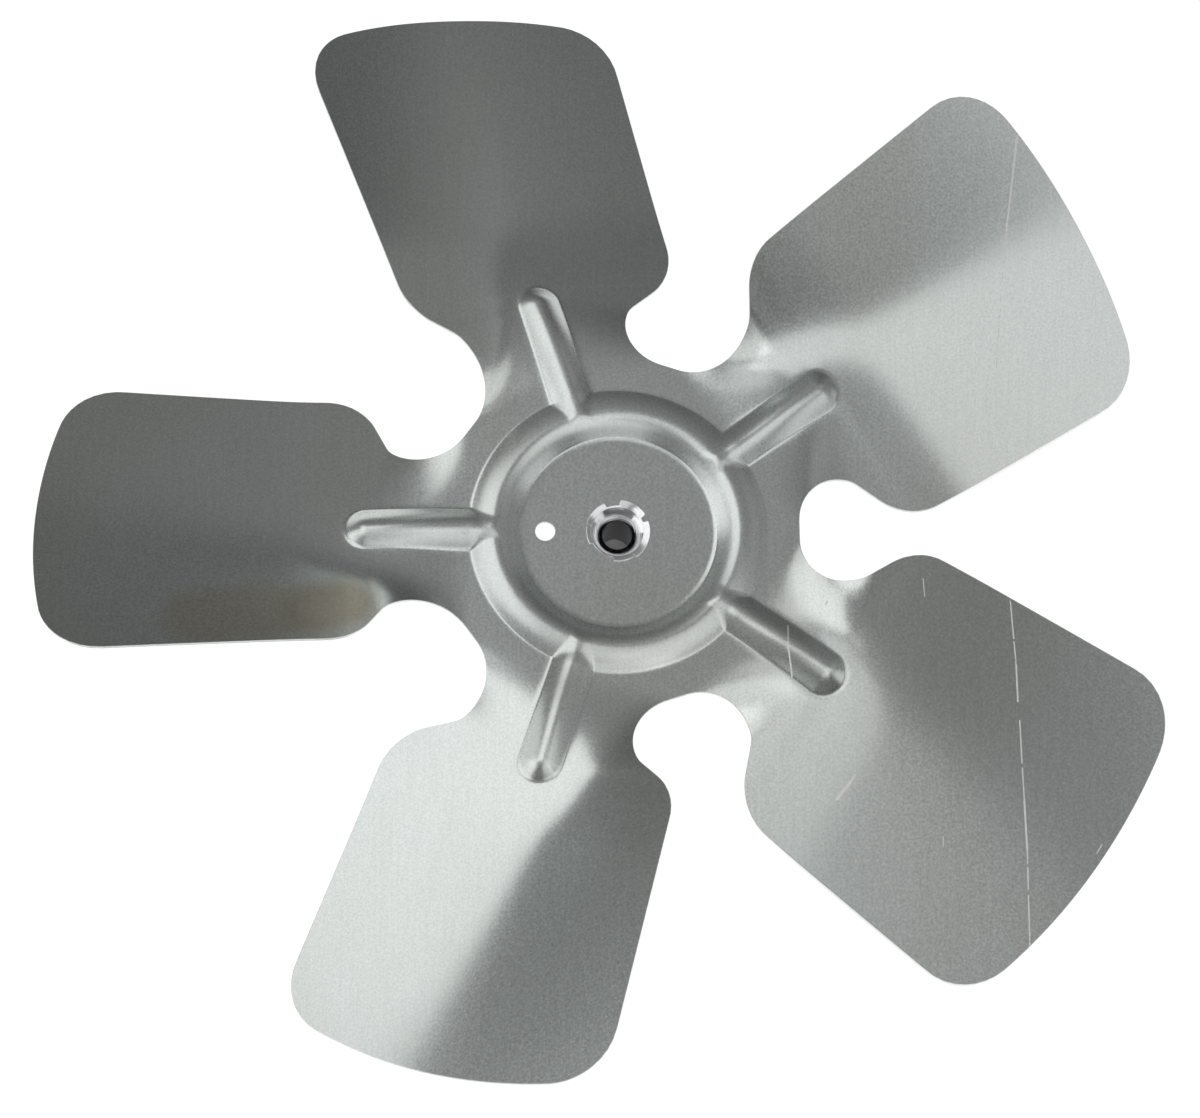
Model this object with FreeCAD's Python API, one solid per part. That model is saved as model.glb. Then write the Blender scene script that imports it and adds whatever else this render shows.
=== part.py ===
"""Axial fan impeller: a stamped aluminium sheet with five blades, its staked hub and a set screw."""
import FreeCAD, Part
import math
import os

# Overall sizes, in millimetres and degrees. Z is the shaft, +Z faces the viewer of the photograph.
# The origin is on the shaft, datum_depth behind the middle of the flat sheet round the ring.
blade_count = 5
tip_radius = 152.4
sheet_thickness = 1.25
first_rib_angle = 36.0
datum_depth = 6.0

# Plan outline of a blade, in its own frame: X runs out along the rib, Y across the blade.
edge_station = 100.0
low_edge_offset = 42.26
low_edge_angle = 4.2
low_tip_corner = 15.5
high_edge_offset = 38.32
high_edge_angle = 3.8
high_tip_corner = 16.5
tip_crown_radius = 125.0
tip_crown_shift = -0.55

# The rounded notch between two blades, in a frame along the middle of the gap.
notch_floor_margin = 9.02
notch_side_straight = 0.3
low_notch_half_width = 16.3
low_notch_corner = 13.1
low_notch_turn = 5.3
low_neck_angle = 28.6
low_neck_radius = 16.2
high_notch_half_width = 16.0
high_notch_corner = 13.9
high_notch_turn = 7.5
high_neck_angle = 21.4
high_neck_radius = 14.1

# Form of the blade: two flats of different pitch, met by a bend that widens towards the tip.
# A ratio is a rise per millimetre across or along the blade.
root_station = 80.0
outer_station = 140.0
low_root_ratio = 0.355
low_tip_ratio = 0.426
high_root_ratio = 0.755
high_tip_ratio = 0.641
bend_line_root = 8.1
bend_line_tip = -1.9
bend_line_bow = 0.35
bend_height_root = 0.65
bend_height_tip = -1.25
bend_width_root = 3.6
bend_width_tip = 5.6
root_fold_station = 85.0
root_fold_width = 2.9
low_rise_ratio = 0.139
high_rise_ratio = -0.062
rise_blend_width = 4.0
root_ramp_length = 29.3
low_lead_ratio = 0.371
high_lead_ratio = 0.251
ramp_lead_start = 3.0

# Ring bead pressed round the middle, and the disc that it stiffens.
disc_drop = 1.0
ring_inner_radius = 26.3
ring_width = 12.6
ring_inner_wall_angle = 38.0
ring_outer_wall_angle = 26.0
ring_crest_radius = 2.2
ring_flat_margin = 0.6
plate_margin = 0.3

# Five straight ribs that run out of the ring.
rib_half_width = 5.9
rib_end_radius = 72.0
rib_height = 3.3
rib_ridge_width = 3.0
rib_start_sink = 0.45
rib_skirt = 0.7

# Hole beside the hub that locates the sheet while it is staked.
locating_hole_radius = 2.6
locating_hole_station = 19.05
locating_hole_angle = 180.0

# Turned hub with a spigot that is staked over the sheet.
bore_radius = 3.975
hub_radius = 12.0
hub_length = 18.0
hub_edge_chamfer = 0.8
bore_chamfer = 0.5
spigot_radius = 7.0
spigot_clearance = 0.05
countersink_radius = 6.8
countersink_angle = 86.0
stake_ring_radius = 7.7
stake_ring_height = 0.35
stake_lip_radius = 8.6
stake_lip_inner_radius = 6.7
stake_lip_height = 0.65
stake_edge_chamfer = 0.2
stake_lips = ((32.0, 85.0), (114.0, 165.0), (205.0, 262.0), (305.0, 380.0))

# Socket set screw in the side of the hub.
screw_radius = 3.15
screw_length = 6.35
screw_angle = 270.0
screw_depth = 11.0
screw_bore_gap = 0.6
screw_clearance = 0.03
screw_point_radius = 1.6
screw_point_length = 1.1
screw_end_chamfer = 0.4
socket_flats = 3.2
socket_depth = 2.9

# Values that follow from the sizes above.
half_pitch = math.radians(180.0 / blade_count)
half_sheet = sheet_thickness / 2.0
ring_outer_radius = ring_inner_radius + ring_width
joint_station = ring_outer_radius + ring_flat_margin
notch_floor = ring_outer_radius + notch_floor_margin
root_ramp_end = joint_station + root_ramp_length
disc_top = half_sheet - disc_drop
disc_bottom = -half_sheet - disc_drop
hub_end = disc_bottom - hub_length
screw_level = disc_bottom - screw_depth
inner_wall = math.radians(ring_inner_wall_angle)
outer_wall = math.radians(ring_outer_wall_angle)
wall_sum = math.tan(inner_wall) + math.tan(outer_wall)
crest_corner = ring_inner_radius + (ring_width * math.tan(outer_wall) + disc_drop) / wall_sum
crest_corner_height = (ring_outer_radius - crest_corner) * math.tan(outer_wall)
crest_tangent = ring_crest_radius * math.tan((inner_wall + outer_wall) / 2.0)
rib_start = crest_corner - crest_tangent * math.cos(inner_wall) + ring_crest_radius * math.sin(inner_wall)
rib_nose = rib_end_radius - rib_half_width
rib_ridge = rib_ridge_width / 2.0
rib_slope = rib_height / (math.hypot(rib_half_width, rib_ridge) - rib_ridge)
deep = tip_radius / 2.0


def vec(x, y, z=0.0):
    """Short form of a vector."""
    return FreeCAD.Vector(x, y, z)


def turn(point, angle):
    """Turn a plan point about the shaft."""
    c = math.cos(angle)
    s = math.sin(angle)
    return vec(point.x * c - point.y * s, point.x * s + point.y * c, point.z)


def soft_plus(u):
    """Smooth corner between a level line and a line of slope one."""
    return max(u, 0.0) + math.log1p(math.exp(-abs(u)))


def smooth_step(u):
    """Ease from nought to one."""
    u = min(max(u, 0.0), 1.0)
    return u * u * (3.0 - 2.0 * u)


def blade_height(x, y):
    """Height of the middle of the sheet over the ring's foot, in the blade's frame."""
    k = (x - root_station) / (outer_station - root_station)
    low = low_root_ratio + (low_tip_ratio - low_root_ratio) * k
    high = high_root_ratio + (high_tip_ratio - high_root_ratio) * k
    bend = bend_line_root + (bend_line_tip - bend_line_root) * k
    bend = bend + bend_line_bow * 4.0 * k * (1.0 - k)
    width = bend_width_root + (bend_width_tip - bend_width_root) * max(k, -1.0)
    level = bend_height_root + (bend_height_tip - bend_height_root) * k
    across = y - bend
    side = 1.0 / (1.0 + math.exp(across / rise_blend_width))
    rise = low_rise_ratio * side + high_rise_ratio * (1.0 - side)
    fold = root_fold_width * soft_plus((root_fold_station - x) / root_fold_width)
    height = level + low * across + (high - low) * width * soft_plus(across / width) + rise * fold
    lead = low_lead_ratio if y < 0.0 else high_lead_ratio
    away = math.hypot(y, ramp_lead_start) - ramp_lead_start
    ramp_end = root_ramp_end - lead * away
    return height * smooth_step((x - joint_station) / max(ramp_end - joint_station, ramp_lead_start))


def half_height(x, y):
    """Half of the sheet's thickness, measured upright through the sloping sheet."""
    step = sheet_thickness / 20.0
    along = (blade_height(x + step, y) - blade_height(x - step, y)) / (2.0 * step)
    across = (blade_height(x, y + step) - blade_height(x, y - step)) / (2.0 * step)
    return half_sheet * math.sqrt(1.0 + along * along + across * across)


def sheet_level(x, y, side):
    """Height of one skin of the sheet: side is 1 for the face towards +Z and -1 for the back."""
    if x <= joint_station:
        return side * half_sheet
    return blade_height(x, y) + side * half_height(x, y)


def rib_level(x, y, side):
    """Height of one skin of the rib: two flat flanks that meet in a rounded ridge."""
    off = math.hypot(max(x - rib_nose, 0.0), y)
    run = math.hypot(off, rib_ridge)
    rise = rib_height - rib_slope * (run - rib_ridge)
    if side < 0:
        rise = rise - sheet_thickness * (math.hypot(1.0, rib_slope * off / run) - 1.0)
    rise = rise - rib_start_sink * smooth_step((joint_station - x) / (joint_station - rib_start))
    return sheet_level(x, y, side) + rise


def steps(start, end, count):
    """Even stations from start to end."""
    return [start + (end - start) * i / count for i in range(count + 1)]


def block_under(xs, ys, level):
    """Solid under the surface that level gives over the stations."""
    rows = [[vec(x, y, level(x, y)) for y in ys] for x in xs]
    surface = Part.BSplineSurface()
    surface.interpolate(rows)
    return surface.toShape().extrude(vec(0.0, 0.0, -deep))


def corner_arc(before, corner, after, radius):
    """Start, middle and end of the arc that rounds a corner."""
    a = (before - corner).normalize()
    b = (after - corner).normalize()
    half = a.getAngle(b) / 2.0
    reach = radius / math.tan(half)
    middle = (a + b).normalize()
    centre = corner + middle * (radius / math.sin(half))
    return corner + a * reach, centre - middle * radius, corner + b * reach


def rounded_path(points, radii):
    """Edges of lines through the points, with each inner corner rounded that has a radius."""
    edges = []
    last = points[0]
    for i in range(1, len(points) - 1):
        if radii[i] <= 0.0:
            edges.append(Part.makeLine(last, points[i]))
            last = points[i]
            continue
        start, middle, end = corner_arc(points[i - 1], points[i], points[i + 1], radii[i])
        edges.append(Part.makeLine(last, start))
        edges.append(Part.Arc(start, middle, end).toShape())
        last = end
    edges.append(Part.makeLine(last, points[-1]))
    return edges


def meet(p, d, q, e):
    """Point where two lines cross."""
    t = ((q.x - p.x) * e.y - (q.y - p.y) * e.x) / (d.x * e.y - d.y * e.x)
    return p + d * t


def blade_side(side):
    """Edges of half of a blade's outline, from the notch floor to the tip corner's end."""
    if side < 0:
        offset, taper, corner = low_edge_offset, low_edge_angle, low_tip_corner
        half_width, first, second = low_notch_half_width, low_notch_corner, low_notch_turn
        neck_slope, neck = low_neck_angle, low_neck_radius
    else:
        offset, taper, corner = high_edge_offset, high_edge_angle, high_tip_corner
        half_width, first, second = high_notch_half_width, high_notch_corner, high_notch_turn
        neck_slope, neck = high_neck_angle, high_neck_radius
    gap = side * half_pitch
    floor = turn(vec(notch_floor, 0.0), gap)
    bottom = turn(vec(notch_floor, -side * half_width), gap)
    fall = math.radians(neck_slope)
    shoulder = notch_floor + first + notch_side_straight + second * math.tan(fall / 2.0)
    turn_point = turn(vec(shoulder, -side * half_width), gap)
    into = turn(vec(math.cos(fall), side * math.sin(fall)), gap)
    lean = math.radians(taper)
    along = vec(math.cos(lean), side * math.sin(lean))
    inward = vec(math.sin(lean), -side * math.cos(lean))
    on_edge = vec(edge_station, side * offset)
    neck_point = meet(turn_point, into, on_edge, along)
    crown = vec(tip_radius - tip_crown_radius, tip_crown_shift)
    base = on_edge + inward * corner - crown
    part = base.dot(along)
    rest = base.dot(base) - (tip_crown_radius - corner) ** 2
    centre = on_edge + inward * corner + along * (math.sqrt(part * part - rest) - part)
    foot = centre - inward * corner
    out = (centre - crown).normalize()
    end = centre + out * corner
    middle = centre + (out - inward).normalize() * corner
    path = [floor, bottom, turn_point, neck_point, foot]
    edges = rounded_path(path, [0.0, first, second, neck, 0.0])
    edges.append(Part.Arc(foot, middle, end).toShape())
    return edges, floor, end


def blade_prism():
    """Tall prism over one pitch of the sheet's plan."""
    low, low_floor, low_end = blade_side(-1)
    high, high_floor, high_end = blade_side(1)
    tip = vec(tip_radius, tip_crown_shift)
    edges = low + [Part.Arc(low_end, tip, high_end).toShape()] + high
    edges.append(Part.makeLine(vec(0.0, 0.0), low_floor))
    edges.append(Part.makeLine(vec(0.0, 0.0), high_floor))
    wire = Part.Wire(Part.__sortEdges__(edges))
    wire.translate(vec(0.0, 0.0, -deep / 2.0))
    return Part.Face(wire).extrude(vec(0.0, 0.0, deep))


def ring_line():
    """Corners and bend radii of the ring's section, along the middle of the sheet."""
    points = [
        (0.0, -disc_drop),
        (ring_inner_radius, -disc_drop),
        (crest_corner, crest_corner_height),
        (ring_outer_radius, 0.0),
        (ring_outer_radius + plate_margin, 0.0),
    ]
    radii = [0.0, half_sheet, ring_crest_radius, half_sheet, 0.0]
    return points, radii


def offset_line(points, radii, side):
    """Section line of one skin: corners moved square to the sheet, bends kept concentric."""
    turns = [0.0, 1.0, -1.0, 1.0, 0.0]
    moved = []
    for i in range(len(points)):
        dirs = []
        if i > 0:
            dirs.append(math.atan2(points[i][1] - points[i - 1][1], points[i][0] - points[i - 1][0]))
        if i < len(points) - 1:
            dirs.append(math.atan2(points[i + 1][1] - points[i][1], points[i + 1][0] - points[i][0]))
        mean = sum(dirs) / len(dirs)
        spread = (dirs[-1] - dirs[0]) / 2.0
        size = side * half_sheet / math.cos(spread)
        moved.append(vec(points[i][0] - math.sin(mean) * size, 0.0, points[i][1] + math.cos(mean) * size))
    new_radii = [r - side * half_sheet * t for r, t in zip(radii, turns)]
    return moved, new_radii


def ring_block(side):
    """Solid of revolution under one skin of the disc and the ring."""
    points, radii = ring_line()
    moved, new_radii = offset_line(points, radii, side)
    edges = rounded_path(moved, new_radii)
    last = moved[-1]
    edges.append(Part.makeLine(last, vec(last.x, 0.0, -deep)))
    edges.append(Part.makeLine(vec(last.x, 0.0, -deep), vec(0.0, 0.0, -deep)))
    edges.append(Part.makeLine(vec(0.0, 0.0, -deep), moved[0]))
    face = Part.Face(Part.Wire(Part.__sortEdges__(edges)))
    return face.revolve(vec(0.0, 0.0), vec(0.0, 0.0, 1.0), 360.0)


def plate_block(side):
    """Flat plate between the ring and the blade's root, under one skin."""
    half = joint_station * math.tan(half_pitch)
    corners = [vec(0.0, 0.0), vec(joint_station, -half), vec(joint_station, half), vec(0.0, 0.0)]
    plate = Part.Face(Part.makePolygon(corners))
    plate.translate(vec(0.0, 0.0, -deep))
    plate = plate.extrude(vec(0.0, 0.0, deep + side * half_sheet))
    hole = Part.makeCylinder(ring_outer_radius + plate_margin, 3.0 * deep, vec(0.0, 0.0, -2.0 * deep))
    return plate.cut(hole)


def skin_block(side):
    """Everything under one skin of the sheet, over one pitch."""
    reach = tip_radius * 1.03
    width = max(low_edge_offset, high_edge_offset) * 1.5
    xs = steps(joint_station, reach, 42)
    ys = steps(-width, width, 42)
    blade = block_under(xs, ys, lambda x, y: sheet_level(x, y, side))
    rib_xs = steps(rib_start, rib_nose, 16)[:-1] + steps(rib_nose, rib_end_radius + rib_skirt, 10)
    rib_ys = steps(-rib_half_width - rib_skirt, rib_half_width + rib_skirt, 24)
    rib = block_under(rib_xs, rib_ys, lambda x, y: rib_level(x, y, side))
    return ring_block(side).fuse([plate_block(side), blade, rib])


def impeller_sheet():
    """Stamped sheet: one pitch from its two skins, then five of them joined and pierced."""
    prism = blade_prism()
    pitch = skin_block(1).common(prism).cut(skin_block(-1))
    pitches = []
    for i in range(blade_count):
        copy = pitch.copy()
        copy.rotate(vec(0.0, 0.0), vec(0.0, 0.0, 1.0), first_rib_angle + 360.0 * i / blade_count)
        pitches.append(copy)
    sheet = pitches[0].fuse(pitches[1:]).removeSplitter()
    holes = [Part.makeCylinder(spigot_radius + spigot_clearance, deep, vec(0.0, 0.0, -deep / 2.0))]
    place = turn(vec(locating_hole_station, 0.0, -deep / 2.0), math.radians(locating_hole_angle))
    holes.append(Part.makeCylinder(locating_hole_radius, deep, place))
    return sheet.cut(holes)


def revolved(corners):
    """Solid of revolution about the shaft from corners given as radius and height."""
    face = Part.Face(Part.makePolygon([vec(r, 0.0, z) for r, z in corners + corners[:1]]))
    return face.revolve(vec(0.0, 0.0), vec(0.0, 0.0, 1.0), 360.0)


def hub():
    """Turned hub: barrel behind the disc, spigot through it and lips staked over its face."""
    ring_top = disc_top + stake_ring_height
    lip_top = disc_top + stake_lip_height
    cone = math.tan(math.radians(countersink_angle / 2.0))
    body = revolved([
        (0.0, hub_end),
        (hub_radius - hub_edge_chamfer, hub_end),
        (hub_radius, hub_end + hub_edge_chamfer),
        (hub_radius, disc_bottom),
        (spigot_radius, disc_bottom),
        (spigot_radius, disc_top),
        (stake_ring_radius, disc_top),
        (stake_ring_radius, ring_top - stake_edge_chamfer),
        (stake_ring_radius - stake_edge_chamfer, ring_top),
        (0.0, ring_top),
    ])
    lip = Part.Face(Part.makePolygon([
        vec(stake_lip_inner_radius, 0.0, disc_top),
        vec(stake_lip_radius, 0.0, disc_top),
        vec(stake_lip_radius, 0.0, lip_top - stake_edge_chamfer),
        vec(stake_lip_radius - stake_edge_chamfer, 0.0, lip_top),
        vec(stake_lip_inner_radius, 0.0, lip_top),
        vec(stake_lip_inner_radius, 0.0, disc_top),
    ]))
    lips = []
    for start, end in stake_lips:
        piece = lip.revolve(vec(0.0, 0.0), vec(0.0, 0.0, 1.0), end - start)
        piece.rotate(vec(0.0, 0.0), vec(0.0, 0.0, 1.0), start)
        lips.append(piece)
    body = body.fuse(lips)
    top = lip_top + stake_lip_height
    wide = countersink_radius + (top - ring_top) * cone
    cone_depth = (countersink_radius - bore_radius) / cone
    bore = revolved([
        (0.0, hub_end - bore_chamfer),
        (bore_radius + 2.0 * bore_chamfer, hub_end - bore_chamfer),
        (bore_radius, hub_end + bore_chamfer),
        (bore_radius, ring_top - cone_depth),
        (wide, top),
        (0.0, top),
    ])
    start = vec(0.0, 0.0, screw_level)
    tapped = Part.makeCylinder(screw_radius + screw_clearance, 2.0 * hub_radius, start, vec(1.0, 0.0))
    tapped.rotate(vec(0.0, 0.0), vec(0.0, 0.0, 1.0), screw_angle)
    return body.cut([bore, tapped]).removeSplitter()


def set_screw():
    """Headless screw with a hexagon socket and a blunt point, driven in towards the shaft."""
    point = bore_radius + screw_bore_gap
    face = Part.Face(Part.makePolygon([
        vec(point, 0.0, 0.0),
        vec(point, 0.0, screw_point_radius),
        vec(point + screw_point_length, 0.0, screw_radius),
        vec(point + screw_length - screw_end_chamfer, 0.0, screw_radius),
        vec(point + screw_length, 0.0, screw_radius - screw_end_chamfer),
        vec(point + screw_length, 0.0, 0.0),
        vec(point, 0.0, 0.0),
    ]))
    body = face.revolve(vec(0.0, 0.0), vec(1.0, 0.0, 0.0), 360.0)
    across = socket_flats / math.sqrt(3.0)
    corners = []
    for i in range(7):
        angle = math.radians(60.0 * i)
        corners.append(vec(point + screw_length, across * math.cos(angle), across * math.sin(angle)))
    socket = Part.Face(Part.makePolygon(corners)).extrude(vec(-socket_depth, 0.0, 0.0))
    body = body.cut(socket)
    body.rotate(vec(0.0, 0.0), vec(0.0, 0.0, 1.0), screw_angle)
    body.translate(vec(0.0, 0.0, screw_level))
    return body


nodes = {
    "impeller_sheet": impeller_sheet(),
    "hub": hub(),
    "set_screw": set_screw(),
}

os.makedirs("parts", exist_ok=True)
for name, shape in nodes.items():
    if shape.ShapeType == "Compound" and len(shape.Solids) == 1:
        shape = shape.Solids[0]
    shape.translate(vec(0.0, 0.0, datum_depth))
    print(name, "solids", len(shape.Solids), "faces", len(shape.Faces), "valid", shape.isValid())
    shape.exportStep("parts/" + name + ".step")
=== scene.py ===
import logging
import math
from dataclasses import dataclass
from dataclasses import field
from enum import Enum

import bpy
import numpy as np
from mathutils import Matrix
from mathutils import Vector


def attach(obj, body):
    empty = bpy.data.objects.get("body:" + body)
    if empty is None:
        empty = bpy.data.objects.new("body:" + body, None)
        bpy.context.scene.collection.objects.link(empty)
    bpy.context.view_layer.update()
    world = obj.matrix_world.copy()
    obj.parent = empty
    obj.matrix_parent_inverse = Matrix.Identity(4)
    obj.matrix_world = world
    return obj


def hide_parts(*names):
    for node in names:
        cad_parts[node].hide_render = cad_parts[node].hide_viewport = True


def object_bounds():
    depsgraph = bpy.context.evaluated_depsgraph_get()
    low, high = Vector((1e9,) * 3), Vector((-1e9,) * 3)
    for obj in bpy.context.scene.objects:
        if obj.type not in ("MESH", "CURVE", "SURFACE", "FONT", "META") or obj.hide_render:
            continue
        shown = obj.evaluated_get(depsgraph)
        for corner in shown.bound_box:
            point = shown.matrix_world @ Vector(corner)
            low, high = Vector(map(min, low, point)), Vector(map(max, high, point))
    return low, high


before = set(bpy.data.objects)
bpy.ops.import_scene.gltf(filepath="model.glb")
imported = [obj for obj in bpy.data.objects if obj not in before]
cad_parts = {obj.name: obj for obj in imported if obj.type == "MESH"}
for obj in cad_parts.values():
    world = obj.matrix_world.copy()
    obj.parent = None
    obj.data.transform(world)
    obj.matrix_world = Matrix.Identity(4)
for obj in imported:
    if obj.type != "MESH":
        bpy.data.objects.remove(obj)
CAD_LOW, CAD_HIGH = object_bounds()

log = logging.getLogger("impeller")
MM = 0.001
ROOT_BODY = "root"
BLADE_COUNT = 5
FIRST_RIB_ANGLE = 36.0
HUB_SHARP = 30.0
DRILL_POINTS = 97

# Points are compared in steps of a ten-thousandth, moved off the places where rounding flips.
WELD_STEPS = 1.0e4
WELD_SHIFT = 0.3

# Ranges that the noises mostly fill, the match of normals at worn edges, how finely scratches break.
NOISE_SPAN = (0.3, 0.7)
GRAIN_SPAN = (0.25, 0.75)
WEAR_SPAN = (0.94, 0.72)
BREAK_SCALE = 300.0


# Number work that several pieces share.

def smooth_min(a: np.ndarray, b: np.ndarray, blend: np.ndarray | float) -> np.ndarray:
    """Lower of two heights, with the corner between them rounded by a parabola.

    The result is min(a, b) less blend / 4 times the square of how far the two are into the blend.

    Args:
        a: first height.
        b: second height.
        blend: difference of height over which the corner is rounded.

    Returns:
        The rounded lower height.
    """
    into = np.clip(blend - np.abs(a - b), 0.0, None) / blend
    return np.minimum(a, b) - into * into * blend / 4.0


def smooth_max(a: np.ndarray, b: np.ndarray, blend: np.ndarray | float) -> np.ndarray:
    """Higher of two heights, with the corner between them rounded by a parabola.

    Args:
        a: first height.
        b: second height.
        blend: difference of height over which the corner is rounded.

    Returns:
        The rounded higher height.
    """
    return -smooth_min(-a, -b, blend)


def smooth_step(u: np.ndarray) -> np.ndarray:
    """Ease from nought to one: 3 u squared less 2 u cubed, held outside that range."""
    held = np.clip(u, 0.0, 1.0)
    return held * held * (3.0 - 2.0 * held)


def window(angle: np.ndarray, start: float, end: float, soft: float) -> np.ndarray:
    """One between two angles and nought outside, eased over the soft width at both ends.

    Args:
        angle: angles in degrees, any turn.
        start: where the window opens, in degrees.
        end: where it closes, in degrees, over start.
        soft: width of each eased end, in degrees.

    Returns:
        The weight at each angle.
    """
    middle = (start + end) / 2.0
    off = np.abs((angle - middle + 180.0) % 360.0 - 180.0)
    return smooth_step(((end - start) / 2.0 - off) / soft + 0.5)


def pieced(knots: list[float], counts: tuple[int, ...]) -> np.ndarray:
    """Stations that run through the knots, with a number of even cells between each two.

    Args:
        knots: stations that are always kept.
        counts: number of cells in each stretch.

    Returns:
        All the stations in order.
    """
    ends = np.concatenate([[0], np.cumsum(counts)])
    return np.interp(np.arange(ends[-1] + 1), ends, knots)


def resample(path: np.ndarray, fractions: np.ndarray) -> np.ndarray:
    """Points on a line of points at given fractions of its length.

    Args:
        path: points of the line, one row each.
        fractions: places along it, from nought to one.

    Returns:
        One point for each fraction.
    """
    steps = np.linalg.norm(np.diff(path, axis=0), axis=1)
    run = np.concatenate([[0.0], np.cumsum(steps)])
    where = fractions * run[-1]
    return np.stack([np.interp(where, run, path[:, i]) for i in range(path.shape[1])], axis=1)


def turned(points: np.ndarray, degrees: float) -> np.ndarray:
    """Turn points about Z, leaving any height as it is.

    Args:
        points: points with their coordinates in the last axis.
        degrees: the angle.

    Returns:
        The turned points.
    """
    c = math.cos(math.radians(degrees))
    s = math.sin(math.radians(degrees))
    out = points.copy()
    out[..., 0] = points[..., 0] * c - points[..., 1] * s
    out[..., 1] = points[..., 0] * s + points[..., 1] * c
    return out


def bend_arc(
    before: np.ndarray,
    corner: np.ndarray,
    after: np.ndarray,
    radius: float,
    count: int,
) -> np.ndarray:
    """Points on the arc that rounds a corner between two straight lines.

    The centre lies on the bisector, at the radius over the sine of half the corner's angle, and the
    points run at even angles from the first tangent point to the second.

    Args:
        before: point on the line into the corner.
        corner: the sharp corner.
        after: point on the line out of it.
        radius: radius of the arc.
        count: number of points.

    Returns:
        The arc's points in order.
    """
    a = (before - corner) / np.linalg.norm(before - corner)
    b = (after - corner) / np.linalg.norm(after - corner)
    half = math.acos(float(np.clip(a @ b, -1.0, 1.0))) / 2.0
    middle = (a + b) / np.linalg.norm(a + b)
    centre = corner + middle * radius / math.sin(half)
    start = corner + a * radius / math.tan(half) - centre
    end = corner + b * radius / math.tan(half) - centre
    sweep = math.atan2(start[0] * end[1] - start[1] * end[0], float(start @ end))
    angles = np.linspace(0.0, sweep, count)[:, None]
    return centre + start * np.cos(angles) + np.array([-start[1], start[0]]) * np.sin(angles)


@dataclass
class Patchwork:
    """Grids of points gathered into one closed mesh, in millimetres."""

    points: list[np.ndarray] = field(default_factory=list)
    faces: list[np.ndarray] = field(default_factory=list)
    count: int = 0

    def add_grid(self, grid: np.ndarray, flipped: bool = False, keep: np.ndarray | None = None) -> None:
        """Add a grid of points as quads.

        Args:
            grid: points as rows, columns and coordinates.
            flipped: turns the faces over.
            keep: which cells become faces, if not all.
        """
        rows, columns = grid.shape[:2]
        index = np.arange(rows * columns).reshape(rows, columns) + self.count
        corners = [index[:-1, :-1], index[1:, :-1], index[1:, 1:], index[:-1, 1:]]
        quads = np.stack(corners, axis=-1)
        quads = quads.reshape(-1, 4) if keep is None else quads[keep]
        self.points.append(grid.reshape(-1, 3))
        self.faces.append(quads[:, ::-1] if flipped else quads)
        self.count += rows * columns

    def joined(self) -> tuple[np.ndarray, np.ndarray]:
        """Join points that lie in one place, to a ten-thousandth of a millimetre.

        Returns:
            The place of each kept point among all the points, and the faces over the kept ones.
        """
        faces = np.concatenate(self.faces)
        keys = np.round(np.concatenate(self.points) * WELD_STEPS + WELD_SHIFT).astype(np.int64)
        _, first, inverse = np.unique(keys, axis=0, return_index=True, return_inverse=True)
        used, small = np.unique(inverse.reshape(-1)[faces], return_inverse=True)
        return first[used], small.reshape(faces.shape)

    def welded(self) -> tuple[np.ndarray, np.ndarray, np.ndarray]:
        """Give the joined mesh, with quads that lost a corner as triangles.

        Returns:
            The points, the faces with four corners and the faces with three.
        """
        kept, faces = self.joined()
        same = faces == np.roll(faces, -1, axis=1)
        doubles = same.sum(axis=1)
        single = doubles == 1
        triangles = faces[single][~same[single]].reshape(-1, 3)
        return np.concatenate(self.points)[kept], faces[doubles == 0], triangles


def rim_edges(faces: np.ndarray) -> np.ndarray:
    """Find the free edges of an open skin: those that only one face has.

    Args:
        faces: the skin's faces with four corners.

    Returns:
        The corner pairs of the free edges, in the order that their faces run.
    """
    edges = np.concatenate([faces[:, [i, (i + 1) % 4]] for i in range(4)])
    low = edges.min(axis=1).astype(np.int64)
    high = edges.max(axis=1).astype(np.int64)
    _, first, counts = np.unique(low * (high.max() + 1) + high, return_index=True, return_counts=True)
    return edges[first[counts == 1]]


def link_object(name: str, data: bpy.types.ID) -> bpy.types.Object:
    """Put an object into the scene.

    Args:
        name: the object's name.
        data: its mesh, lamp or camera.

    Returns:
        The new object.
    """
    thing = bpy.data.objects.new(name, data)
    bpy.context.scene.collection.objects.link(thing)
    return thing


def make_mesh(name: str, shape: tuple[np.ndarray, np.ndarray, np.ndarray]) -> bpy.types.Mesh:
    """Make a mesh in metres.

    Args:
        name: the mesh's name.
        shape: points in millimetres, faces with four corners and faces with three.

    Returns:
        The new mesh.
    """
    points, quads, triangles = shape
    mesh = bpy.data.meshes.new(name)
    mesh.from_pydata((points * MM).tolist(), [], quads.tolist() + triangles.tolist())
    return mesh


def make_piece(
    name: str,
    shape: tuple[np.ndarray, np.ndarray, np.ndarray],
    material: bpy.types.Material,
    sharp_angle: float,
) -> bpy.types.Object:
    """Put a piece into the scene, with its place in its points.

    Args:
        name: the piece's name.
        shape: points in millimetres, faces with four corners and faces with three.
        material: the finish.
        sharp_angle: edges that turn by more than this many degrees stay sharp.

    Returns:
        The new object.
    """
    mesh = make_mesh(name, shape)
    mesh.validate()
    mesh.shade_smooth()
    mesh.set_sharp_from_angle(angle=math.radians(sharp_angle))
    mesh.materials.append(material)
    return link_object(name, mesh)


# Node groups and finishes.

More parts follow.
